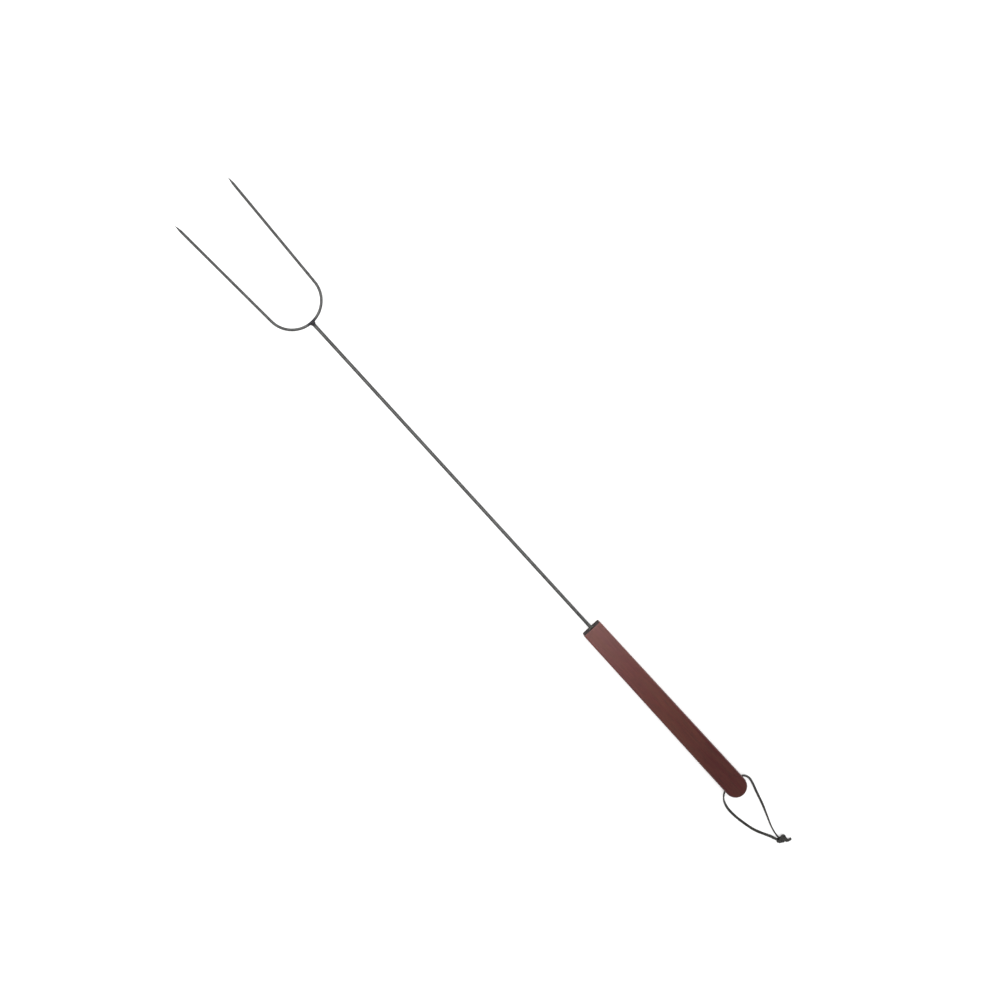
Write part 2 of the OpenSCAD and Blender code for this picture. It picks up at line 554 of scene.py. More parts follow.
@dataclass(frozen=True)
class WaxedLeather:
    """Flat lace cut from dark waxed leather: a pebbled grain face with painted shade in its creases, paler
    scuffs and browner raw edges.
    """

    name: str
    dye: str = "#1b1a17"
    scuff: str = "#34322d"
    edge: str = "#2a231b"
    roughness: float = 0.55
    pebble: float = 0.45
    scuff_size: float = 6.0
    half_width: float = 1.5 * MM

    def material(self) -> bpy.types.Material:
        """Build the leather's node material."""
        material, tree = new_material(self.name)
        place = add_node(tree, "ShaderNodeAttribute", attribute_name=Pattern.LACE.value).outputs["Vector"]
        across = add_node(tree, "ShaderNodeSeparateXYZ", {0: place}).outputs[1]
        off_middle = add_node(tree, "ShaderNodeMath", {0: across}, operation="ABSOLUTE").outputs[0]
        pebbles = add_node(
            tree,
            "ShaderNodeTexVoronoi",
            {"Vector": place, "Scale": per_mm(self.pebble)},
            feature="DISTANCE_TO_EDGE",
        )
        scuffs_at = add_node(
            tree,
            "ShaderNodeMapping",
            {"Vector": place, "Scale": (per_mm(self.scuff_size), per_mm(1.2), per_mm(1.2))},
        )
        scuffs = add_node(
            tree,
            "ShaderNodeTexNoise",
            {"Vector": scuffs_at.outputs[0], "Scale": 1.0, "Detail": 4.0},
        )
        colour = add_node(
            tree,
            "ShaderNodeValToRGB",
            {0: scuffs.outputs[0]},
            stops=((0.38, self.dye), (0.72, self.scuff)),
        ).outputs[0]
        is_edge = add_node(
            tree,
            "ShaderNodeMapRange",
            {0: off_middle, 1: self.half_width * 0.8, 2: self.half_width * 0.97, 3: 0.0, 4: 0.6},
        )
        colour = add_node(
            tree,
            "ShaderNodeMix",
            {0: is_edge.outputs[0], 6: colour, 7: linear(self.edge)},
            data_type="RGBA",
        ).outputs[2]
        # Painted shade: the creases between the pebbles are darkened in the colour
        painted_crease_shade = add_node(
            tree,
            "ShaderNodeMapRange",
            {0: pebbles.outputs[0], 1: 0.0, 2: 0.15, 3: 0.75, 4: 1.0},
        )
        colour = add_node(
            tree,
            "ShaderNodeMix",
            {0: 1.0, 6: colour, 7: painted_crease_shade.outputs[0]},
            data_type="RGBA",
            blend_type="MULTIPLY",
        ).outputs[2]
        relief = add_node(
            tree,
            "ShaderNodeBump",
            {"Height": pebbles.outputs[0], "Strength": 0.5, "Distance": 0.12 * MM},
        )
        shader = add_node(
            tree,
            "ShaderNodeBsdfPrincipled",
            {
                "Base Color": colour,
                "Roughness": self.roughness,
                "Specular IOR Level": 0.4,
                "Normal": relief.outputs[0],
            },
        )
        add_node(tree, "ShaderNodeOutputMaterial", {"Surface": shader.outputs[0]})
        return material


# Meshes


def finish_piece(
    name: str, bm: bmesh.types.BMesh, materials: Sequence[bpy.types.Material], sharp: float = 40.0
) -> bpy.types.Object:
    """Turn a bmesh into a smooth-shaded object at the origin.

    Args:
        name: The piece's name.
        bm: The bmesh, which is freed.
        materials: The piece's materials, in the order of their slots.
        sharp: The angle in degrees from which an edge stays sharp.

    Returns:
        The new object, linked to the scene.
    """
    bmesh.ops.remove_doubles(bm, verts=bm.verts, dist=0.001 * MM)
    bmesh.ops.recalc_face_normals(bm, faces=bm.faces)
    mesh = bpy.data.meshes.new(name)
    bm.to_mesh(mesh)
    bm.free()
    for material in materials:
        mesh.materials.append(material)
    mesh.shade_smooth()
    mesh.set_sharp_from_angle(angle=math.radians(sharp))
    piece = bpy.data.objects.new(name, mesh)
    bpy.context.scene.collection.objects.link(piece)
    return piece


def place_piece(piece: bpy.types.Object, body: Body, slot: str, *nodes: str) -> None:
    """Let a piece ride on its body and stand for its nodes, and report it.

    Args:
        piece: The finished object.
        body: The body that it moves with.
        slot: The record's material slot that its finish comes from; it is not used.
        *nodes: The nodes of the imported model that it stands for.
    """
    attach(piece, body.value)
    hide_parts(*nodes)
    faces = len(piece.data.polygons)
    LOG.info("%s: %d faces, rides on %s, stands for %s", piece.name, faces, body.value, nodes)


def new_ring_parts(grown: Iterable[Any]) -> tuple[list[bmesh.types.BMVert], list[bmesh.types.BMEdge]]:
    """Pick the new ring out of what an extrusion returned.

    Args:
        grown: The vertices, edges and faces that the operator made.

    Returns:
        The ring's vertices and the edges between them.
    """
    parts = list(grown)
    verts = [part for part in parts if isinstance(part, bmesh.types.BMVert)]
    known = set(verts)
    edges = [part for part in parts if isinstance(part, bmesh.types.BMEdge) and known.issuperset(part.verts)]
    return verts, edges


def extrude_ring(
    bm: bmesh.types.BMesh, edges: Sequence[bmesh.types.BMEdge], offset: Vector, scale: float = 1.0
) -> tuple[list[bmesh.types.BMVert], list[bmesh.types.BMEdge]]:
    """Extrude an open ring of edges, move it and scale it about its middle.

    Args:
        bm: The bmesh.
        edges: The ring's edges.
        offset: How far the new ring moves.
        scale: How much larger the new ring is.

    Returns:
        The new ring's vertices and edges.
    """
    verts, ring = new_ring_parts(bmesh.ops.extrude_edge_only(bm, edges=list(edges))["geom"])
    bmesh.ops.translate(bm, verts=verts, vec=offset)
    if scale != 1.0:
        middle = sum((vert.co for vert in verts), Vector()) / len(verts)
        bmesh.ops.scale(bm, verts=verts, vec=(scale,) * 3, space=Matrix.Translation(-middle))
    return verts, ring


def store_places(piece: bpy.types.Object, pattern: Pattern, place: Callable[[Vector], Vector]) -> None:
    """Keep each vertex's straightened coordinates in an attribute.

    Args:
        piece: The finished object.
        pattern: The attribute to write.
        place: What turns a position into straightened coordinates.
    """
    layer = piece.data.attributes.new(pattern.value, "FLOAT_VECTOR", "POINT")
    for vert, value in zip(piece.data.vertices, layer.data):
        value.vector = place(vert.co)


def spun_collar(
    outline: Sequence[tuple[float, float]], steps: int, shape: Callable[[Vector, float], Vector]
) -> bmesh.types.BMesh:
    """Spin a closed outline once round the rod's axis and let a function shape the result.

    Args:
        outline: The outline's corners, as places along X and distances from the axis.
        steps: How many steps the full turn has.
        shape: What moves a point, given its position and its angle round the axis.

    Returns:
        The new bmesh.
    """
    bm = bmesh.new()
    verts = [bm.verts.new((x, 0, AXIS_HEIGHT + r)) for x, r in outline]
    edges = [bm.edges.new(pair) for pair in zip(verts, verts[1:] + verts[:1])]
    bmesh.ops.spin(
        bm,
        geom=verts + edges,
        cent=(0, 0, AXIS_HEIGHT),
        axis=(1, 0, 0),
        angle=math.tau,
        steps=steps,
        use_merge=True,
    )
    for vert in bm.verts:
        vert.co = shape(vert.co, math.atan2(vert.co.z - AXIS_HEIGHT, vert.co.y))
    return bm


@dataclass(frozen=True)
class ForkWire:
    """The fork's wire: a round bend, two straight legs that splay a little, and two ground points."""

    radius: float = 1.6 * MM
    bend_x: float = 298.7947 * MM
    bend_radius: float = 33 * MM
    splay: float = math.radians(2.8)
    leg: float = 153 * MM
    point: float = 10 * MM
    sides: int = 32
    bend_steps: int = 72
    leg_steps: int = 26
    # The point's outline, as shares of its length and of the wire's radius: a wheel grinds it slightly full
    point_outline: tuple[tuple[float, float], ...] = (
        (0.06, 0.985),
        (0.2, 0.9),
        (0.4, 0.74),
        (0.6, 0.55),
        (0.78, 0.36),
        (0.92, 0.2),
        (0.985, 0.12),
        (1.0, 0.05),
    )

    def build(self) -> bpy.types.Object:
        """Build the bent wire."""
        bm = bmesh.new()
        start = Matrix.Translation((0, -self.bend_radius, 0)) @ Matrix.Rotation(math.pi / 2, 4, "Y")
        turn = Matrix.Translation((self.bend_x, 0, AXIS_HEIGHT)) @ Matrix.Rotation(-self.splay, 4, "Z")
        place = turn @ start
        made = bmesh.ops.create_circle(bm, segments=self.sides, radius=self.radius, matrix=place)
        ring = made["verts"]
        first = list(bm.edges)
        bent = bmesh.ops.spin(
            bm,
            geom=ring + first,
            cent=(self.bend_x, 0, AXIS_HEIGHT),
            axis=(0, 0, 1),
            angle=-(math.pi - 2 * self.splay),
            steps=self.bend_steps,
        )
        last = [part for part in bent["geom_last"] if isinstance(part, bmesh.types.BMEdge)]
        for edges, side in ((first, -1), (last, 1)):
            self._leg(bm, edges, side)
        steel = DrawnSteel("drawn_steel_wire", ground_from=self._ground_from())
        return finish_piece("fork_wire", bm, [steel.material()])

    def _leg(self, bm: bmesh.types.BMesh, edges: Sequence[bmesh.types.BMEdge], side: int) -> None:
        """Extrude one leg and its point.

        Args:
            bm: The bmesh.
            edges: The open ring at the end of the bend.
            side: One for the left leg and minus one for the right leg.
        """
        ahead = Vector((math.cos(self.splay), side * math.sin(self.splay), 0))
        straight = self.leg - self.point
        for _ in range(self.leg_steps):
            verts, edges = extrude_ring(bm, edges, ahead * straight / self.leg_steps)
        at, size = 0.0, 1.0
        for share, width in self.point_outline:
            verts, edges = extrude_ring(bm, edges, ahead * (share - at) * self.point, width / size)
            at, size = share, width
        bmesh.ops.edgeloop_fill(bm, edges=edges)

    def _ground_from(self) -> float:
        """Distance along the wire, from the middle of the bend, at which the ground point starts."""
        return self.bend_radius * (math.pi / 2 - self.splay) + self.leg - self.point

    def straighten(self, at: Vector) -> Vector:
        """Find where a point of the bent wire lies along the wire, across it and above its middle."""
        x, y = at.x - self.bend_x, at.y
        side = 1 if y >= 0 else -1
        half_bend = self.bend_radius * (math.pi / 2 - self.splay)
        ahead = x * math.cos(self.splay) + abs(y) * math.sin(self.splay)
        if ahead > 0:
            out = abs(y) * math.cos(self.splay) - x * math.sin(self.splay)
            return Vector((side * (half_bend + ahead), out - self.bend_radius, at.z - AXIS_HEIGHT))
        angle = math.atan2(abs(y), -x)
        out = math.hypot(x, y) - self.bend_radius
        return Vector((side * self.bend_radius * angle, out, at.z - AXIS_HEIGHT))


@dataclass(frozen=True)
class Rod:
    """The long straight rod, from the chamfered tang in the handle to the coped end at the wire."""

    wire: ForkWire
    radius: float = 2 * MM
    tang_x: float = -290 * MM
    chamfer: float = 0.5 * MM
    end_x: float = 264.9947 * MM
    gap: float = 0.03 * MM
    handle_front_x: float = -200 * MM
    sides: int = 40
    steps: int = 60

    def build(self) -> bpy.types.Object:
        """Build the rod."""
        bm = bmesh.new()
        place = Matrix.Translation((self.tang_x, 0, AXIS_HEIGHT)) @ Matrix.Rotation(math.pi / 2, 4, "Y")
        bmesh.ops.create_circle(
            bm, cap_ends=True, segments=self.sides, radius=self.radius - self.chamfer, matrix=place
        )
        edges = list(bm.edges)
        verts, edges = extrude_ring(
            bm, edges, Vector((self.chamfer, 0, 0)), self.radius / (self.radius - self.chamfer)
        )
        stride = (self.end_x - self.tang_x - self.chamfer) / self.steps
        for _ in range(self.steps):
            verts, edges = extrude_ring(bm, edges, Vector((stride, 0, 0)))
        for vert in verts:
            vert.co.x = self._coped_x(vert.co.y, vert.co.z - AXIS_HEIGHT)
        cap = bmesh.ops.edgeloop_fill(bm, edges=edges)["faces"]
        bmesh.ops.poke(bm, faces=cap)
        film_from = self.end_x - self.handle_front_x - 2.5 * MM
        return finish_piece("long_rod", bm, [DrawnSteel("drawn_steel_rod", film_from=film_from).material()])

    def _coped_x(self, y: float, z: float) -> float:
        """Place along the rod at which it meets the bent wire.

        Args:
            y: Place across the rod.
            z: Height above the rod's axis.

        Returns:
            The place along X, short of the wire by the bonding gap.
        """
        around = self.wire.radius + self.gap
        if abs(z) >= around:
            return self.end_x
        outside = self.wire.bend_radius + math.sqrt(around**2 - z**2)
        return min(self.end_x, self.wire.bend_x - math.sqrt(outside**2 - y**2))

    def straighten(self, at: Vector) -> Vector:
        """Find where a point of the rod lies behind the weld and round the axis."""
        return Vector((self.end_x - at.x, at.y, at.z - AXIS_HEIGHT))


@dataclass(frozen=True)
class WeldBead:
    """The bead that joins the rod to the outside of the bend, with the ripples of a quick weld."""

    rod_radius: float = 2 * MM
    weld_x: float = 265.7947 * MM
    wire_radius: float = 1.6 * MM
    length: float = 2.6 * MM
    height: float = 1 * MM
    inset: float = 0.1 * MM
    ripples: int = 11
    ripple_height: float = 0.09 * MM
    lump: float = 0.22 * MM
    steps: int = 66

    def build(self) -> bpy.types.Object:
        """Build the rippled bead."""
        foot = self.weld_x - self.wire_radius - self.length
        face = self.weld_x - self.wire_radius
        outside = [
            (foot, 0.03),
            (foot + 0.3 * MM, 0.2),
            (foot + 0.9 * MM, 0.42),
            (foot + 1.5 * MM, 0.62),
            (foot + 2.0 * MM, 0.84),
            (foot + 2.45 * MM, 1.0),
            (face + 0.3 * MM, 0.98),
            (face + 0.7 * MM, 0.8),
            (face + 0.95 * MM, 0.45),
        ]
        outline = [(x, self.rod_radius + share * self.height) for x, share in outside]
        outline.append((face + 0.95 * MM, self.rod_radius - self.inset))
        outline.append((foot, self.rod_radius - self.inset))
        bm = spun_collar(outline, self.steps, self._ripple)
        return finish_piece("weld_bead", bm, [WeldedSteel("welded_steel").material()], 55)

    def _ripple(self, at: Vector, angle: float) -> Vector:
        """Move a point of the smooth collar onto the rippled bead.

        Args:
            at: The point.
            angle: Its angle round the rod's axis.

        Returns:
            The point on the bead.
        """
        out = Vector((0, at.y, at.z - AXIS_HEIGHT))
        proud = out.length - self.rod_radius
        if proud <= 0:
            return at
        sweep = angle * self.ripples + (at.x - self.weld_x) / MM * 1.1
        wave = self.ripple_height * (abs(math.sin(sweep / 2)) - 0.5)
        bump = self.lump * noise.noise(at * per_mm(2.2))
        share = min(1.0, proud / (0.4 * self.height))
        return at + out.normalized() * (wave + bump) * share


@dataclass(frozen=True)
class GlueCollar:
    """The glue in the bore, with its uneven meniscus on the rod at the front end of the handle."""

    rod_radius: float = 2 * MM
    bore_radius: float = 2.5 * MM
    bore_chamfer: float = 0.6 * MM
    bore_depth: float = 93 * MM
    front_x: float = -200 * MM
    rise: float = 0.6 * MM
    creep: float = 1.7 * MM
    gap: float = 0.03 * MM
    steps: int = 56

    def build(self) -> bpy.types.Object:
        """Build the glue."""
        outer = self.bore_radius - self.gap
        mouth = self.front_x
        bottom = mouth - self.bore_depth + self.gap
        rod_tip = mouth - 90 * MM
        outline = [
            (bottom, outer),
            (mouth - self.bore_chamfer - self.gap, outer),
            (mouth - self.gap, outer + self.bore_chamfer),
            (mouth + 0.12 * MM, outer + self.bore_chamfer - 0.08 * MM),
            (mouth + 0.55 * self.rise, self.rod_radius + 0.62 * MM),
            (mouth + self.rise, self.rod_radius + 0.3 * MM),
            (mouth + 1.2 * MM, self.rod_radius + 0.12 * MM),
            (mouth + self.creep, self.rod_radius + 0.02 * MM),
            (mouth + self.creep, self.rod_radius - 0.05 * MM),
            (rod_tip, self.rod_radius - 0.05 * MM),
            (rod_tip, 0.3 * MM),
            (bottom, 0.3 * MM),
        ]
        bm = spun_collar(outline, self.steps, self._sag)
        return finish_piece("glue_collar", bm, [SetGlue("set_epoxy").material()], 50)

    def _sag(self, at: Vector, angle: float) -> Vector:
        """Let the meniscus stand higher on one side of the rod than on the other.

        Args:
            at: The point.
            angle: Its angle round the rod's axis.

        Returns:
            The point after the change.
        """
        ahead = at.x - self.front_x
        if ahead <= 0.05 * MM:
            return at
        uneven = 0.16 * math.sin(angle + 2.4) + 0.1 * math.sin(3 * angle + 0.6)
        return at + Vector((ahead * uneven, 0, 0))


@dataclass(frozen=True)
class Handle:
    """The wooden handle: a flat tapered bar with a round butt, bored for the tang and the loop."""

    front_x: float = -200 * MM
    butt_x: float = -450 * MM
    front_width: float = 24 * MM
    butt_radius: float = 13 * MM
    thickness: float = 18 * MM
    edge_radius: float = 2 * MM
    front_edge_radius: float = 0.8 * MM
    bore_radius: float = 2.5 * MM
    bore_depth: float = 93 * MM
    bore_chamfer: float = 0.6 * MM
    hole_radius: float = 2.2 * MM
    hole_chamfer: float = 1 * MM
    butt_steps: int = 48
    over: float = 1 * MM

    def build(self) -> bpy.types.Object:
        """Build the handle."""
        wood = VarnishedHardwood("varnished_hardwood").material()
        materials = [wood, EndGrain("end_grain_stain_and_painted_shade").material()]
        blank = finish_piece("wooden_handle", self._blank(), materials)
        cutter = finish_piece("handle_cutter", self._cutter(), materials)
        cut = blank.modifiers.new("bores", "BOOLEAN")
        cut.operation, cut.solver, cut.object = "DIFFERENCE", "EXACT", cutter
        cut.material_mode = "INDEX"
        graph = bpy.context.evaluated_depsgraph_get()
        mesh = bpy.data.meshes.new_from_object(blank.evaluated_get(graph))
        blank.modifiers.clear()
        blank.data = mesh
        mesh.name = blank.name
        mesh.set_sharp_from_angle(angle=math.radians(35))
        bpy.data.objects.remove(cutter)
        return blank

    def _blank(self) -> bmesh.types.BMesh:
        """Shape the blank: outline, thickness, rounded edges and flat faces with a narrow border."""
        bm = bmesh.new()
        middle = self.butt_x + self.butt_radius
        right = bm.verts.new((self.front_x, -self.front_width / 2, 0))
        turn = bm.verts.new((middle, -self.butt_radius, 0))
        bm.edges.new((right, turn))
        spun = bmesh.ops.spin(
            bm, geom=[turn], cent=(middle, 0, 0), axis=(0, 0, 1), angle=-math.pi, steps=self.butt_steps
        )
        far = next(part for part in spun["geom_last"] if isinstance(part, bmesh.types.BMVert))
        left = bm.verts.new((self.front_x, self.front_width / 2, 0))
        bm.edges.new((far, left))
        bm.edges.new((left, right))
        bottom = bmesh.ops.edgeloop_fill(bm, edges=bm.edges)["faces"]
        raised = bmesh.ops.extrude_face_region(bm, geom=bottom)["geom"]
        top = [part for part in raised if isinstance(part, bmesh.types.BMVert)]
        bmesh.ops.translate(bm, verts=top, vec=(0, 0, self.thickness))
        bmesh.ops.recalc_face_normals(bm, faces=bm.faces)
        self._round(bm, [e for e in bm.edges if self._is_long_edge(e)], self.edge_radius, 6)
        front = max(bm.faces, key=lambda face: face.calc_center_median().x)
        self._round(bm, list(front.edges), self.front_edge_radius, 4)
        flats = [face for face in bm.faces if face.calc_area() > (9 * MM) ** 2]
        bmesh.ops.inset_individual(bm, faces=flats, thickness=0.25 * MM, use_even_offset=True)
        for face in bm.faces:
            if face.normal.x > 0.999:
                face.material_index = Cut.END_GRAIN.value
        return bm

    def _is_long_edge(self, edge: bmesh.types.BMEdge) -> bool:
        """Whether an edge of the raw blank runs along its top or bottom, away from the front end."""
        a, b = (vert.co for vert in edge.verts)
        at_front = min(a.x, b.x) > self.front_x - self.over
        return abs(a.z - b.z) < self.over and not at_front

    def _round(
        self, bm: bmesh.types.BMesh, edges: Sequence[bmesh.types.BMEdge], radius: float, segments: int
    ) -> None:
        """Round some edges.

        Args:
            bm: The bmesh.
            edges: The edges to round.
            radius: The rounding's radius.
            segments: How many facets it gets.
        """
        bmesh.ops.bevel(
            bm,
            geom=list(edges),
            offset=radius,
            offset_type="OFFSET",
            affect="EDGES",
            segments=segments,
            profile=0.5,
            material=-1,
            clamp_overlap=True,
        )

    def _cutter(self) -> bmesh.types.BMesh:
        """Make the tools that bore the handle: a blind one for the tang and one across the butt."""
        bore = (
            (self.front_x - self.bore_depth, 0.0),
            (self.front_x - self.bore_depth, self.bore_radius),
            (self.front_x - self.bore_chamfer, self.bore_radius),
            (self.front_x + self.over, self.bore_radius + self.bore_chamfer + self.over),
            (self.front_x + self.over, 0.0),
        )
        wide = self.hole_radius + self.hole_chamfer + self.over
        hole = (
            (-self.butt_radius - self.over, 0.0),
            (-self.butt_radius - self.over, wide),
            (-self.butt_radius + self.hole_chamfer, self.hole_radius),
            (self.butt_radius - self.hole_chamfer, self.hole_radius),
            (self.butt_radius + self.over, wide),
            (self.butt_radius + self.over, 0.0),
        )
        bm = bmesh.new()
        middle = Matrix.Translation((self.butt_x + self.butt_radius, 0, 0))
        across = middle @ Matrix.Rotation(math.pi / 2, 4, "Z")
        for outline, place in ((bore, Matrix.Identity(4)), (hole, across)):
            verts = [bm.verts.new((x, 0, AXIS_HEIGHT + r)) for x, r in outline]
            edges = [bm.edges.new(pair) for pair in zip(verts, verts[1:])]
            known = set(bm.verts) - set(verts)
            bmesh.ops.spin(
                bm,
                geom=verts + edges,
                cent=(0, 0, AXIS_HEIGHT),
                axis=(1, 0, 0),
                angle=math.tau,
                steps=48,
                use_merge=True,
            )
            made = [vert for vert in bm.verts if vert not in known]
            bmesh.ops.transform(bm, matrix=place, verts=made)
        for face in bm.faces:
            face.material_index = Cut.END_GRAIN.value
        return bm


# The hanging loop


def evenly(points: np.ndarray, step: float) -> np.ndarray:
    """Place points evenly along a line.

    Args:
        points: The line's points.
        step: The distance wanted between two points.

    Returns:
        The new points.
    """
    along = np.concatenate([[0.0], np.cumsum(np.linalg.norm(np.diff(points[:, :3], axis=0), axis=1))])
    at = np.linspace(0, along[-1], max(2, round(along[-1] / step) + 1))
    return np.stack([np.interp(at, along, column) for column in points.T], axis=1)


def smoothly(points: np.ndarray, step: float) -> np.ndarray:
    """Draw a smooth line through points, with evenly spaced points on it.

    Args:
        points: Rows of x, y and z, with any further columns, which are blended the same way.
        step: The distance wanted between two points.

    Returns:
        The line's points.
    """
    knots = np.concatenate([[0.0], np.cumsum(np.linalg.norm(np.diff(points[:, :3], axis=0), axis=1))])
    slopes = np.gradient(points, knots, axis=0)
    at = np.linspace(0, knots[-1], 12 * len(points))
    left = np.clip(np.searchsorted(knots, at, side="right") - 1, 0, len(knots) - 2)
    width = (knots[left + 1] - knots[left])[:, None]
    t = (at[:, None] - knots[left][:, None]) / width
    line = (
        (2 * t**3 - 3 * t**2 + 1) * points[left]
        + (t**3 - 2 * t**2 + t) * width * slopes[left]
        + (3 * t**2 - 2 * t**3) * points[left + 1]
        + (t**3 - t**2) * width * slopes[left + 1]
    )
    return evenly(line, step)


def unit(vectors: np.ndarray) -> np.ndarray:
    """Scale vectors to length one."""
    return vectors / np.linalg.norm(vectors, axis=-1, keepdims=True)


def carried(line: np.ndarray, first: np.ndarray) -> np.ndarray:
    """Carry a direction along a line without twisting it.

    Args:
        line: The line's points.
        first: The direction at its start.

    Returns:
        The direction at each point, square to the line.
    """
    ahead = unit(np.gradient(line, axis=0))
    out = np.zeros_like(line)
    last = first
    for i, tangent in enumerate(ahead):
        last = unit(last - tangent * (last @ tangent))
        out[i] = last
    return out


class LacePoints:
    """Points along laces, in millimetres, moved until they are even, smooth and clear of each other."""

    def __init__(self, laces: Sequence[np.ndarray], step: float, gap: float, skip: int) -> None:
        """Collect the laces.

        Args:
            laces: The points of each lace.
            step: The distance between two neighbours.
            gap: The least distance between the middles of two stretches of lace.
            skip: How many neighbours along the same lace may be nearer than that.
        """
        self.sizes = [len(lace) for lace in laces]
        self.points = np.vstack(laces)
        self.step, self.gap = step, gap
        owner = np.repeat(np.arange(len(laces)), self.sizes)
        index = np.arange(len(owner))
        self.free = np.ones(len(owner), bool)
        same = (owner[:, None] == owner) & (np.abs(index[:, None] - index) <= skip)
        self.first, self.second = np.nonzero(np.triu(~same, 1))
        self.links = np.nonzero(owner[1:] == owner[:-1])[0]
        self.inner = np.nonzero((owner[2:] == owner[1:-1]) & (owner[1:-1] == owner[:-2]))[0] + 1

    def relax(
        self, rounds: int, stiff: float, floor: float, pull: Callable[[np.ndarray, float], None]
    ) -> None:
        """Run the rounds.

        Args:
            rounds: How many there are.
            stiff: How strongly the lace straightens, from zero to one.
            floor: The lowest height of the lace's middle.
            pull: What moves the held points, given the points and the share of the rounds that is done.
        """
        for count in range(rounds):
            pull(self.points, count / rounds)
            self._straighten(stiff)
            self._part()
            self._part()
            for _ in range(5):
                self._keep_length()
            loose = self.points[self.free]
            loose[:, 2] = np.maximum(loose[:, 2], floor)
            self.points[self.free] = loose

    def laces(self) -> list[np.ndarray]:
        """Return the points of each lace."""
        return np.split(self.points, np.cumsum(self.sizes)[:-1])

    def _straighten(self, stiff: float) -> None:
        """Move each point towards the middle between its neighbours."""
        inner = self.inner[self.free[self.inner]]
        middle = (self.points[inner - 1] + self.points[inner + 1]) / 2
        self.points[inner] += (middle - self.points[inner]) * stiff

    def _part(self) -> None:
        """Push apart the points that are nearer than the gap."""
        between = self.points[self.first] - self.points[self.second]
        far = np.sqrt((between**2).sum(1))
        hit = np.nonzero(far < self.gap)[0]
        push = between[hit] / np.maximum(far[hit], 1e-6)[:, None] * ((self.gap - far[hit]) / 2)[:, None]
        move, hits = np.zeros_like(self.points), np.zeros(len(self.points))
        for ends, sign in ((self.first[hit], 1), (self.second[hit], -1)):
            np.add.at(move, ends, sign * push)
            np.add.at(hits, ends, 1)
        self.points += move / np.maximum(hits, 1)[:, None] ** 0.7 * self.free[:, None]

    def _keep_length(self) -> None:
        """Bring neighbours back to their distance, every second link at a time."""
        for links in (self.links[self.links % 2 == 0], self.links[self.links % 2 == 1]):
            between = self.points[links + 1] - self.points[links]
            far = np.linalg.norm(between, axis=1)
            left, right = self.free[links].astype(float), self.free[links + 1].astype(float)
            share = (far - self.step) / far / np.maximum(left + right, 1e-9)
            self.points[links] += between * (share * left)[:, None]
            self.points[links + 1] -= between * (share * right)[:, None]


def stay(points: np.ndarray, share: float) -> None:
    """Leave the held points where they are."""


@dataclass(frozen=True)
class OverhandKnot:
    """An overhand knot in a doubled lace, in millimetres round its middle, with the legs on its -X side."""

    thickness: float = 3.1  # of the two laces together
    lace: float = 2.1
    step: float = 0.7
    size: float = 2.3
    tail: float = 14.0
    strand_angle: float = math.radians(140)
    roll: float = math.radians(232)
    pitch: float = math.radians(12)
    # Length of doubled lace that a tight overhand knot takes up, as a multiple of its thickness
    taken_up: float = 10.4
    span: float = 26.0
    rounds: int = 1100
    stiff: float = 0.12

    def strands(self) -> list[np.ndarray]:
        """Tie the knot in one thick line, then split it into two laces that lie side by side.

        Returns:
            The points of the two laces, from the legs to the tails.
        """
        line = self._tightened()
        beside = carried(line, np.array([0.0, math.cos(self.strand_angle), math.sin(self.strand_angle)]))
        turned = self._turned()
        return [evenly(line + side * beside * self.lace / 2, self.step) @ turned.T for side in (1, -1)]

    def _tightened(self) -> np.ndarray:
        """Pull a wide open knot tight, and bring its middle to the origin."""
        t = np.linspace(-2.15, 2.15, 300)
        arch = np.stack([t**3 - 3 * t, 4 * t**2 - t**4, (10 * t - t**5) / 4], axis=1)
        arch[:, 1] -= arch[0, 1]
        arch *= self.size
        run = np.array([self.span, 0, 0]) / 5
        start = evenly(np.vstack([arch[0] - run, arch, arch[-1] + run]), self.step)
        loose = LacePoints([start], self.step, self.thickness, int(1.65 * self.thickness / self.step))
        loose.free[[0, -1]] = False
        half = (self.step * (len(start) - 1) - self.taken_up * self.thickness) / 2
        ends = [(start[0].copy(), np.array([-half, 0, 0])), (start[-1].copy(), np.array([half, 0, 0]))]

        def pull(points: np.ndarray, share: float) -> None:
            """Draw the two ends apart."""
            done = min(1.0, share * 1.6)
            for place, (here, there) in zip((0, -1), ends):
                points[place] = here * (1 - done) + there * done

        loose.relax(self.rounds, self.stiff, -math.inf, pull)
        line = loose.points
        busy = np.abs(line[:, 0]) < 6
        middle = (line[busy].min(0) + line[busy].max(0)) / 2
        line = line - np.array([0, *middle[1:]])
        return line[np.abs(line[:, 0]) < self.tail]

    def _turned(self) -> np.ndarray:
        """Rotation that rolls the knot about its length, then turns it in the plane of the floor."""
        c, s = math.cos(self.roll), math.sin(self.roll)
        roll = np.array([[1, 0, 0], [0, c, -s], [0, s, c]])
        c, s = math.cos(self.pitch), math.sin(self.pitch)
        return np.array([[c, -s, 0], [s, c, 0], [0, 0, 1]]) @ roll


@dataclass(frozen=True)
class LaceLeg:
    """One half of the loop's lace: its way from the middle of the hole, and its tail behind the knot."""

    name: str
    strand: int
    nodes: tuple[str, ...]
    length: float
    tail_turn: float
    tail_length: float
    # Millimetres from the middle of the hole, then how far the flat side has turned from level, in degrees
    route: tuple[tuple[float, float, float, float], ...]


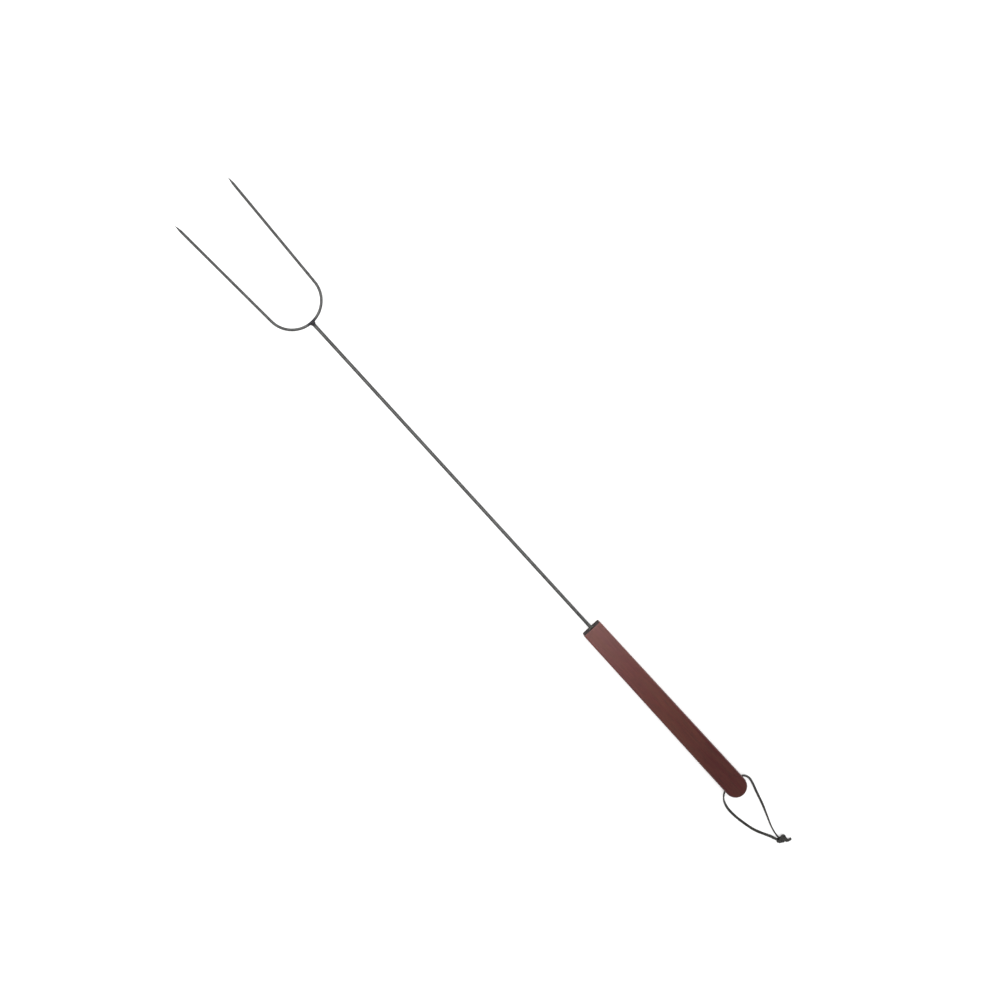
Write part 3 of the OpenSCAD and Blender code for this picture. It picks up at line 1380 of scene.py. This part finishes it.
LEFT_LEG = LaceLeg(
    name="lace_left",
    strand=1,
    nodes=("loop_in_hole", "loop_left_leg", "loop_knot"),
    length=0.159,
    tail_turn=203,
    tail_length=7.5,
    route=(
        (0, 12, 0, 90),
        (-0.8, 13.9, -0.1, 88),
        (-2.6, 16.3, -0.6, 84),
        (-5.2, 18.6, -1.6, 74),
        (-9, 20.9, -3.2, 58),
        (-14, 22.6, -5.1, 42),
        (-19.5, 23.8, -6.7, 28),
        (-25, 24.2, -7.7, 16),
        (-31, 24, -8.1, 8),
        (-38, 23.2, -8.1, 2),
        (-45, 21.9, -8.1, 0),
        (-52, 20.4, -8.1, 2),
        (-59, 18.4, -8, 8),
        (-66, 15.4, -7.9, 14),
        (-72.5, 12, -7.5, 22),
        (-78, 8.9, -6.7, 30),
    ),
)
RIGHT_LEG = LaceLeg(
    name="lace_right",
    strand=0,
    nodes=("loop_right_leg",),
    length=0.145,
    tail_turn=226,
    tail_length=11,
    route=(
        (0, -12, 0, 90),
        (-1, -13.9, -0.1, 84),
        (-3, -15.6, -0.5, 74),
        (-6, -16.8, -1.4, 60),
        (-10.6, -17.3, -3, 44),
        (-16, -16.6, -4.9, 34),
        (-21.5, -15.3, -6.5, 30),
        (-27, -13.6, -7.5, 28),
        (-33, -11.8, -7.8, 30),
        (-39.5, -9.9, -7.8, 30),
        (-46, -7.8, -7.7, 36),
        (-52.5, -5.3, -7.6, 46),
        (-59, -2.8, -7.5, 56),
        (-65.5, -0.2, -7.4, 66),
        (-72, 2, -7.2, 76),
        (-77.5, 3.2, -6.6, 80),
    ),
)


@dataclass(frozen=True)
class HangingLoop:
    """The leather loop: two halves of one flat lace that meet in the hole and are knotted to each other."""

    hole: tuple[float, float, float] = (-437.0, 0.0, 9.0)
    mouth: float = 13.0
    width: float = 3.0
    thick: float = 1.6
    squeezed_width: float = 2.5
    squeezed_thick: float = 1.9
    knot_at: tuple[float, float, float] = (-87.0, 2.2, -5.0)
    knot_turn: float = math.radians(228)
    knot_reach: float = 5.5
    flat_from: float = 9.0
    tail_height: float = 2.0
    ring_gap: float = 0.6
    held_to: float = 12.0
    rounds: int = 260
    stiff: float = 0.06
    lowest: float = 1.0
    sides: int = 20
    knot: OverhandKnot = field(default_factory=OverhandKnot)
    legs: tuple[LaceLeg, ...] = (LEFT_LEG, RIGHT_LEG)

    def build(self) -> list[bpy.types.Object]:
        """Build the two laces."""
        leather = WaxedLeather("waxed_leather").material()
        lines = self._lines()
        pieces = []
        for leg, (line, turns, held) in zip(self.legs, lines):
            piece = self._lace(leg, line, turns, held, leather)
            place_piece(piece, Body.LOOP, "lace_leather", *leg.nodes)
            pieces.append(piece)
        return pieces

    def _knot_middle(self) -> np.ndarray:
        """Middle of the knot, in millimetres in the frame."""
        return np.array(self.hole) + np.array(self.knot_at)

    def _lines(self) -> list[tuple[np.ndarray, np.ndarray, int]]:
        """Lay the legs, the knot and the tails.

        Returns:
            For each lace its points, the turns of its held part, and how many points that part has.
        """
        middle = self._knot_middle()
        c, s = math.cos(self.knot_turn), math.sin(self.knot_turn)
        # The knot's own X runs from the legs to the tails, and its Y is 90 degrees left of that
        axes = np.array([[c, -s, 0], [s, c, 0], [0, 0, 1]])
        strands = self.knot.strands()
        laces, turns, held = [], [], []
        for leg in self.legs:
            route = np.array([(0, 0, 0, leg.route[0][3]), *leg.route], float)
            route[:, :3] += self.hole
            way = smoothly(route, self.knot.step)
            far = np.linalg.norm(way[:, :3] - middle, axis=1)
            kept = int(np.argmax(far < self.held_to)) or len(way)
            strand = strands[leg.strand] @ axes.T + middle
            strand = strand[np.argmax(np.linalg.norm(strand - middle, axis=1) < self.knot_reach + 1.2) :]
            a = math.radians(leg.tail_turn)
            tail = middle + np.array([math.cos(a), math.sin(a), 0]) * leg.tail_length
            tail[2] = self.tail_height
            out = np.linalg.norm(strand - middle, axis=1) < self.knot_reach - 0.3
            last = len(strand) - int(np.argmax(out[::-1]))
            joined = np.vstack([way[: kept + 1, :3], strand[:last], tail])
            laces.append(evenly(joined, self.knot.step))
            turns.append(way[: kept + 1, 3])
            held.append(kept)
        points = LacePoints(laces, self.knot.step, self.knot.lace, 3)
        start = 0
        for lace, count in zip(laces, held):
            points.free[start : start + count] = False
            points.free[start + len(lace) - 1] = False
            start += len(lace)
        points.relax(self.rounds, self.stiff, self.lowest, stay)
        return [(lace, turn, count) for lace, turn, count in zip(points.laces(), turns, held)]

    def _frames(
        self, line: np.ndarray, turns: np.ndarray, held: int
    ) -> tuple[np.ndarray, np.ndarray, np.ndarray]:
        """Work out how the lace's flat side lies along its line.

        Args:
            line: The lace's points.
            turns: How far the flat side has turned from level along the held part, in degrees.
            held: How many points that part has.

        Returns:
            At each point the direction across the flat side and across the thickness, and the way ahead.
        """
        ahead = unit(np.gradient(line, axis=0))
        side = unit(np.cross(ahead, UP))
        up = np.cross(side, ahead)
        angle = np.radians(turns[: held + 1])[:, None]
        flat = np.zeros_like(line)
        flat[: held + 1] = side[: held + 1] * np.cos(angle) + up[: held + 1] * np.sin(angle)
        flat[held:] = carried(line[held:], flat[held])
        # In the knot the lace twists a little more, so that its tail lies flat again
        end = math.atan2(flat[-1] @ up[-1], flat[-1] @ side[-1])
        end = (end + math.pi / 2) % math.pi - math.pi / 2
        share = np.linspace(0, 1, len(line) - held)[:, None]
        twist = -end * (3 * share**2 - 2 * share**3)
        over = np.cross(flat[held:], ahead[held:])
        flat[held:] = flat[held:] * np.cos(twist) + over * np.sin(twist)
        return flat, np.cross(flat, ahead), ahead

    def _lace(
        self, leg: LaceLeg, line: np.ndarray, turns: np.ndarray, held: int, leather: bpy.types.Material
    ) -> bpy.types.Object:
        """Sweep the lace's section along its line.

        Args:
            leg: Which half of the loop it is.
            line: The lace's points, in millimetres.
            turns: The turns of its held part.
            held: How many points that part has.
            leather: Its material.

        Returns:
            The lace.
        """
        flat, thin, ahead = self._frames(line, turns, held)
        near = np.linalg.norm(line - self._knot_middle(), axis=1)
        loose = np.clip((near - self.knot_reach) / (self.flat_from - self.knot_reach), 0, 1)
        loose = 3 * loose**2 - 2 * loose**3
        wide = self.squeezed_width + (self.width - self.squeezed_width) * loose
        thick = self.squeezed_thick + (self.thick - self.squeezed_thick) * loose
        bm = bmesh.new()
        corner = bm.verts.layers.int.new("corner")
        place = bm.verts.layers.float_vector.new(Pattern.LACE.value)
        verts = bmesh.ops.create_circle(bm, cap_ends=True, segments=self.sides, radius=1)["verts"]
        for number, vert in enumerate(verts):
            vert[corner] = number
        edges = list(bm.edges)
        for i, at in enumerate(line):
            if i:
                verts, edges = new_ring_parts(bmesh.ops.extrude_edge_only(bm, edges=edges)["geom"])
            for vert in verts:
                across, over = self._section(vert[corner], i * self.knot.step, wide[i], thick[i])
                vert.co = Vector(at + flat[i] * across + thin[i] * over) * MM
                vert[place] = Vector((i * self.knot.step, across, over)) * MM
        bmesh.ops.edgeloop_fill(bm, edges=edges)
        return finish_piece(leg.name, bm, [leather], 60)

    def _section(self, number: int, along: float, wide: float, thick: float) -> tuple[float, float]:
        """Find a corner of the lace's section, a flat oval whose width wavers as a hand-cut lace's does.

        Args:
            number: Which corner it is.
            along: Distance along the lace, in millimetres.
            wide: The lace's width there.
            thick: Its thickness there.

        Returns:
            The corner's place across the flat side and across the thickness.
        """
        angle = math.tau * (number + 0.5) / self.sides
        c, s = math.cos(angle), math.sin(angle)
        waver = 1 + 0.05 * math.sin(along * 0.55) * math.cos(along * 0.21 + 1) + 0.025 * math.sin(along * 1.9)
        return (
            wide / 2 * waver * math.copysign(abs(c) ** 0.62, c),
            thick / 2 * math.copysign(abs(s) ** 0.62, s),
        )


# The studio


@dataclass(frozen=True)
class Studio:
    """The camera straight above the fork, a pale floor and plain soft light."""

    eye: tuple[float, float, float] = (-24.75 * MM, -21.35 * MM, 746 * MM)
    turn: float = math.radians(227.57)
    lens: float = 23.58
    ambient: float = 0.5
    glow: float = 0.28
    floor_half: float = 4.0

    def camera(self) -> None:
        """Place the camera."""
        data = bpy.data.cameras.new("camera")
        data.lens, data.sensor_width = self.lens, 36.0
        data.clip_start, data.clip_end = 0.01, 50.0
        camera = bpy.data.objects.new("camera", data)
        camera.location = self.eye
        camera.rotation_euler = (0, 0, self.turn)
        bpy.context.scene.collection.objects.link(camera)
        bpy.context.scene.camera = camera

    def lamps(self) -> None:
        """Hang one large soft lamp over the steel and a weaker one beside the handle."""
        self._lamp("overhead", (0.42, 0.0, 1.35), (0.42, 0.0, 0.0), (1.9, 1.0), 22.0)
        self._lamp("side", (-0.3, -1.6, 0.8), (-0.2, 0.0, 0.0), (1.4, 0.5), 6.0)

    def _lamp(
        self,
        name: str,
        at: tuple[float, float, float],
        to: tuple[float, float, float],
        size: tuple[float, float],
        power: float,
    ) -> None:
        """Add a rectangular lamp.

        Args:
            name: The lamp's name.
            at: Where it hangs.
            to: What it points at.
            size: Its length and width.
            power: Its power in watts.
        """
        data = bpy.data.lights.new(name, "AREA")
        data.shape, data.energy = "RECTANGLE", power
        data.size, data.size_y = size
        lamp = bpy.data.objects.new(name, data)
        lamp.location = at
        lamp.rotation_euler = (Vector(to) - Vector(at)).to_track_quat("-Z", "Y").to_euler()
        bpy.context.scene.collection.objects.link(lamp)

    def world(self) -> None:
        """Make the surroundings: white where they are seen, dimmer overhead, and a plain level of light."""
        world = bpy.data.worlds.new("studio")
        bpy.context.scene.world = world
        world.use_nodes = True
        world.cycles.sampling_method = "NONE"
        tree = world.node_tree
        tree.nodes.clear()
        seen = self._seen(tree)
        place = add_node(tree, "ShaderNodeTexCoord").outputs["Generated"]
        height = add_node(tree, "ShaderNodeSeparateXYZ", {0: place}).outputs[2]
        overhead = add_node(tree, "ShaderNodeMapRange", {0: height, 1: 0.45, 2: 0.85, 3: 1.0, 4: 0.12})
        strength = add_node(
            tree,
            "ShaderNodeMix",
            {0: seen, 2: self.ambient, 3: overhead.outputs[0]},
            data_type="FLOAT",
        )
        light = add_node(
            tree,
            "ShaderNodeBackground",
            {"Color": (1, 1, 1, 1), "Strength": strength.outputs[0]},
        )
        add_node(tree, "ShaderNodeOutputWorld", {"Surface": light.outputs[0]})

    def floor(self) -> None:
        """Lay the pale floor, which keeps the fork's shadow and can't be seen from below."""
        bm = bmesh.new()
        bmesh.ops.create_grid(
            bm, x_segments=1, y_segments=1, size=self.floor_half, matrix=Matrix.Translation((0, 0, -0.1 * MM))
        )
        material, tree = new_material("pale_floor")
        seen = self._seen(tree)
        glow = add_node(tree, "ShaderNodeMath", {0: seen, 1: self.glow}, operation="MULTIPLY").outputs[0]
        top = add_node(
            tree,
            "ShaderNodeBsdfPrincipled",
            {
                "Base Color": linear("#f2f2f2"),
                "Roughness": 0.9,
                "Specular IOR Level": 0.0,
                "Emission Color": (1, 1, 1, 1),
                "Emission Strength": glow,
            },
        )
        below = add_node(tree, "ShaderNodeBsdfTransparent")
        behind = add_node(tree, "ShaderNodeNewGeometry").outputs["Backfacing"]
        both = add_node(tree, "ShaderNodeMixShader", {0: behind, 1: top.outputs[0], 2: below.outputs[0]})
        add_node(tree, "ShaderNodeOutputMaterial", {"Surface": both.outputs[0]})
        finish_piece("pale_floor", bm, [material])

    def _seen(self, tree: bpy.types.NodeTree) -> bpy.types.NodeSocket:
        """Add what tells whether the camera, a gloss or a clear material sees this place.

        Args:
            tree: The node tree.

        Returns:
            A socket that is one there and zero where only light is gathered.
        """
        path = add_node(tree, "ShaderNodeLightPath")
        either = add_node(
            tree,
            "ShaderNodeMath",
            {0: path.outputs["Is Camera Ray"], 1: path.outputs["Is Glossy Ray"]},
            operation="MAXIMUM",
        )
        return add_node(
            tree,
            "ShaderNodeMath",
            {0: either.outputs[0], 1: path.outputs["Is Transmission Ray"]},
            operation="MAXIMUM",
        ).outputs[0]


def main() -> None:
    """Build the fork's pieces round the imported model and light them."""
    logging.basicConfig(level=logging.INFO, format="%(name)s %(message)s")
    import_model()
    bpy.context.scene.view_settings.view_transform = "Standard"
    studio = Studio()
    studio.camera()
    HangingLoop().build()
    wire = ForkWire()
    bent = wire.build()
    store_places(bent, Pattern.WIRE, wire.straighten)
    place_piece(bent, Body.FORK, "prong_steel", "fork_prongs")
    rod = Rod(wire)
    long_rod = rod.build()
    store_places(long_rod, Pattern.WIRE, rod.straighten)
    place_piece(long_rod, Body.FORK, "rod_steel", "shaft_rod")
    place_piece(WeldBead().build(), Body.FORK, "weld_steel", "junction_weld")
    place_piece(GlueCollar().build(), Body.FORK, "glue", "tang_glue")
    place_piece(Handle().build(), Body.FORK, "varnished_wood", "handle")
    studio.lamps()
    studio.world()
    studio.floor()


if __name__ == "__main__":
    main()
